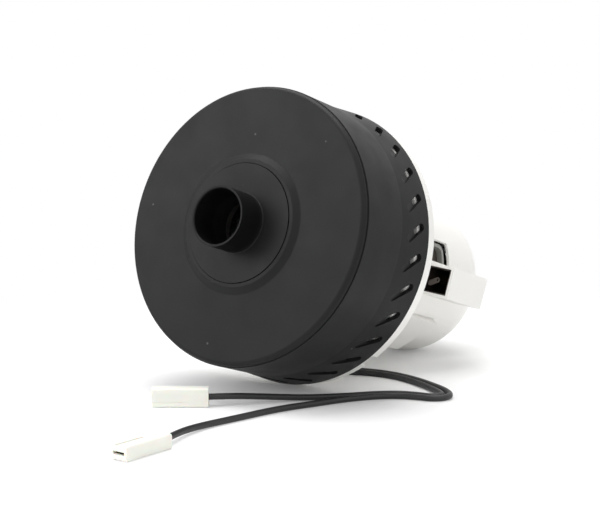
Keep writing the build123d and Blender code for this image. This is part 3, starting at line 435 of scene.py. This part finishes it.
def make_leads(finishes):
    """The two leads, from the grommet to their connectors."""
    leads = (
        ("one", LEAD_ONE_ROUTE_MM, LEAD_ONE_LENGTH_MM),
        ("two", LEAD_TWO_ROUTE_MM, LEAD_TWO_LENGTH_MM),
    )
    for name, route_mm, length_mm in leads:
        piece = lead_curve("lead_wire_" + name, route_mm)
        piece.data.materials.append(finishes["lead_jacket"])
        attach(piece, "housing")
        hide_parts("lead_" + name)


# Brush springs

def make_springs():
    """Copies of the brush spring meshes, standing in for the frame's spring nodes."""
    for side, direction in SLIDE_DIRECTIONS.items():
        node = frame["nodes"]["brush_spring_" + side]
        piece = bpy.data.objects.new("spring_coil_" + side, node.data.copy())
        bpy.context.scene.collection.objects.link(piece)
        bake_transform(piece)
        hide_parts("brush_spring_" + side)


# Studio

def joined(tree, kind, first, second):
    """Result of a math node on two sockets."""
    step = tree.nodes.new("ShaderNodeMath")
    step.operation = kind
    tree.links.new(first, step.inputs[0])
    tree.links.new(second, step.inputs[1])
    return step.outputs["Value"]


def seen_as_background(tree):
    """One for rays that show the surroundings, zero for those that light the object."""
    path = tree.nodes.new("ShaderNodeLightPath").outputs
    straight = joined(tree, "MAXIMUM", path["Is Camera Ray"], path["Is Transmission Ray"])
    return joined(tree, "MAXIMUM", straight, path["Is Glossy Ray"])


def floor_finish():
    """White table that takes the shadow near the object and is plain white further out."""
    finish = Finish("floor", color=(0.97, 0.97, 0.97), roughness=0.7)
    finish.mottle(finish.noise(scale=3, detail=2), color=(0.98, 0.98, 0.98), amount=0.5)
    finish.set(Specular_IOR_Level=0.0)
    tree = finish.tree
    white = finish.node("ShaderNodeEmission", {"Color": (1, 1, 1, 1), "Strength": 1.0})
    distance = finish.node("ShaderNodeVectorMath", operation="LENGTH")
    finish.link(finish.place, distance.inputs[0])
    far = finish.ranged(distance.outputs["Value"], FLOOR_SHADOW_REACH, FLOOR_WHITE_REACH, 0.0, 1.0)
    mix = finish.node("ShaderNodeMixShader")
    finish.link(joined(tree, "MULTIPLY", far, seen_as_background(tree)), mix.inputs["Fac"])
    finish.link(finish.shader.outputs["BSDF"], mix.inputs[1])
    finish.link(white.outputs["Emission"], mix.inputs[2])
    finish.link(mix.outputs["Shader"], tree.nodes["Material Output"].inputs["Surface"])
    return finish.material


def make_floor():
    """One large square under the object."""
    mesh = bpy.data.meshes.new("floor")
    half = FLOOR_SIZE / 2
    corners = [(-half, -half, 0), (half, -half, 0), (half, half, 0), (-half, half, 0)]
    mesh.from_pydata(corners, [], [(0, 1, 2, 3)])
    floor = bpy.data.objects.new("floor", mesh)
    bpy.context.scene.collection.objects.link(floor)
    mesh.materials.append(floor_finish())


def area_lamp(name, place, size, power):
    """Square soft lamp that faces the object."""
    lamp = bpy.data.lights.new(name, "AREA")
    lamp.size = size
    lamp.energy = power
    holder = bpy.data.objects.new(name, lamp)
    holder.location = place
    aim = Vector(LIGHT_TARGET) - Vector(place)
    holder.rotation_euler = aim.to_track_quat("-Z", "Y").to_euler()
    bpy.context.scene.collection.objects.link(holder)


def make_world():
    """White surroundings: plain white to the camera, softer as a light."""
    world = bpy.data.worlds.new("studio")
    bpy.context.scene.world = world
    world.use_nodes = True
    tree = world.node_tree
    background = tree.nodes["Background"]
    background.inputs["Color"].default_value = (1, 1, 1, 1)
    strength = tree.nodes.new("ShaderNodeMix")
    strength.data_type = "FLOAT"
    strength.inputs["A"].default_value = WORLD_STRENGTH
    strength.inputs["B"].default_value = 1.0
    tree.links.new(seen_as_background(tree), strength.inputs["Factor"])
    tree.links.new(strength.outputs["Result"], background.inputs["Strength"])


def make_camera():
    """Camera of the photograph."""
    camera = bpy.data.cameras.new("camera")
    camera.lens = CAMERA_LENS_MM
    camera.sensor_width = CAMERA_SENSOR_MM
    holder = bpy.data.objects.new("camera", camera)
    holder.location = tuple(value * MM for value in CAMERA_PLACE_MM)
    azimuth = math.radians(CAMERA_AZIMUTH)
    elevation = math.radians(CAMERA_ELEVATION)
    level = math.cos(elevation)
    back = Vector((math.sin(azimuth) * level, -math.cos(azimuth) * level, math.sin(elevation)))
    holder.rotation_mode = "QUATERNION"
    holder.rotation_quaternion = (-back).to_track_quat("-Z", "Y")
    bpy.context.scene.collection.objects.link(holder)
    bpy.context.scene.camera = holder


make_camera()
make_world()
make_floor()
for name, (place, size, power) in LAMPS.items():
    area_lamp(name, place, size, power)
bpy.context.scene.view_settings.view_transform = "Standard"

finishes = all_finishes()
dress_nodes(finishes)
make_leads(finishes)
make_springs()
